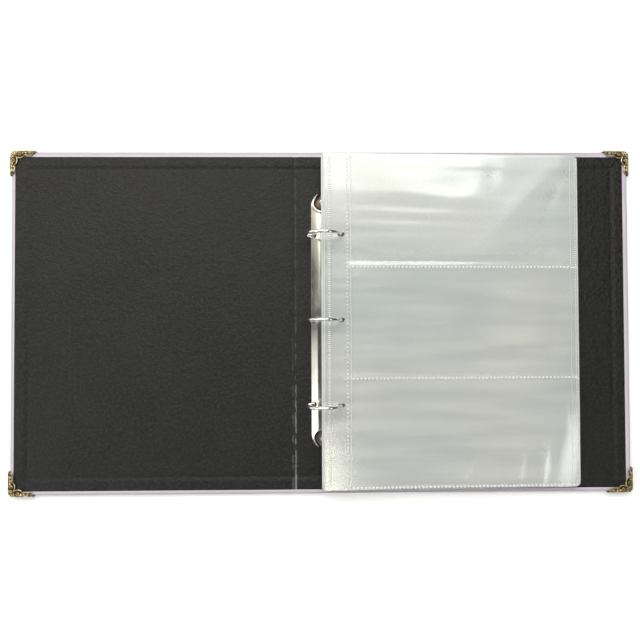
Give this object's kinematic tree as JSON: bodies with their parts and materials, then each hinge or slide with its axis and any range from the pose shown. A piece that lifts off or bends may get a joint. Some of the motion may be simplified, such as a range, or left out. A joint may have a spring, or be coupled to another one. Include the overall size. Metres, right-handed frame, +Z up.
{
  "type": "coin album",
  "caption": "Open ring album with hard covers, brass corner caps, an arched riveted ring mechanism and clear pocket sheets for coins or banknotes.",
  "frame": {"origin": "on the resting plane, under the middle of the spine", "axes": "+X from the spine towards the back cover's fore edge, +Y towards the head of the album, +Z up out of the open pages"},
  "size_m": [0.5216, 0.2886, 0.0362],
  "materials": {
    "lilac_cover": "fine-grained lilac leatherette, satin",
    "black_lining": "black leatherette with a small pebble grain",
    "greyboard": "plain grey bookbinder's board",
    "antique_brass": "stamped antique brass, dark in the hollows and rubbed bright on the rims",
    "nickel": "bright nickel plate",
    "clear_film": "clear glossy polypropylene film with dotted weld lines"
  },
  "bodies": {
    "back_cover": {"back_cover_skin": "lilac_cover", "back_cover_board": "greyboard", "back_cover_lining": "black_lining", "back_head_corner": "antique_brass", "back_foot_corner": "antique_brass"},
    "spine": {"spine_skin": "lilac_cover", "spine_board": "greyboard", "spine_lining": "black_lining", "back_crease": "black_lining", "front_crease": "black_lining", "ring_housing": "nickel", "rivet_head_end": "nickel", "rivet_foot_end": "nickel"},
    "front_cover": {"front_cover_skin": "lilac_cover", "front_cover_board": "greyboard", "front_cover_lining": "black_lining", "front_head_corner": "antique_brass", "front_foot_corner": "antique_brass"},
    "right_rings": {"right_rail": "nickel", "right_half_ring_1": "nickel", "right_half_ring_2": "nickel", "right_half_ring_3": "nickel"},
    "left_rings": {"left_rail": "nickel", "left_half_ring_1": "nickel", "left_half_ring_2": "nickel", "left_half_ring_3": "nickel"},
    "sheet_stack": {"pocket_sheet_01": "clear_film", "pocket_sheet_02": "clear_film", "pocket_sheet_03": "clear_film", "pocket_sheet_04": "clear_film", "pocket_sheet_05": "clear_film", "pocket_sheet_06": "clear_film", "pocket_sheet_07": "clear_film", "pocket_sheet_08": "clear_film", "pocket_sheet_09": "clear_film"},
    "top_leaf": {"pocket_sheet_10": "clear_film"}
  },
  "joints": [
    {"name": "spine_fold", "type": "hinge", "parent": "back_cover", "child": "spine", "pos_m": [0.0223, 0, 0.00145], "axis": [0, 1, 0], "range_deg": [0, 90], "deforming": ["back_crease"]},
    {"name": "front_fold", "type": "hinge", "parent": "spine", "child": "front_cover", "pos_m": [-0.0223, 0, 0.00145], "axis": [0, 1, 0], "range_deg": [0, 90], "deforming": ["front_crease"]},
    {"name": "right_ring_open", "type": "hinge", "parent": "spine", "child": "right_rings", "pos_m": [0.0102, 0.0015, 0.007], "axis": [0, 1, 0], "range_deg": [0, 8]},
    {"name": "left_ring_open", "type": "hinge", "parent": "spine", "child": "left_rings", "pos_m": [-0.0082, 0.0015, 0.007], "axis": [0, 1, 0], "range_deg": [-8, 0]},
    {"name": "stack_swing", "type": "hinge", "parent": "spine", "child": "sheet_stack", "pos_m": [0.00165, 0.0015, 0.02145], "axis": [0, 1, 0], "range_deg": [-90, 0]},
    {"name": "leaf_turn", "type": "hinge", "parent": "sheet_stack", "child": "top_leaf", "pos_m": [0.001, 0.0015, 0.0208], "axis": [0, 1, 0], "range_deg": [-185, 0], "deforming": ["pocket_sheet_10"]}
  ],
  "couplings": [
    {"joint": "left_ring_open", "follows": "right_ring_open", "ratio": -1},
    {"joint": "stack_swing", "follows": "spine_fold", "ratio": -1}
  ]
}
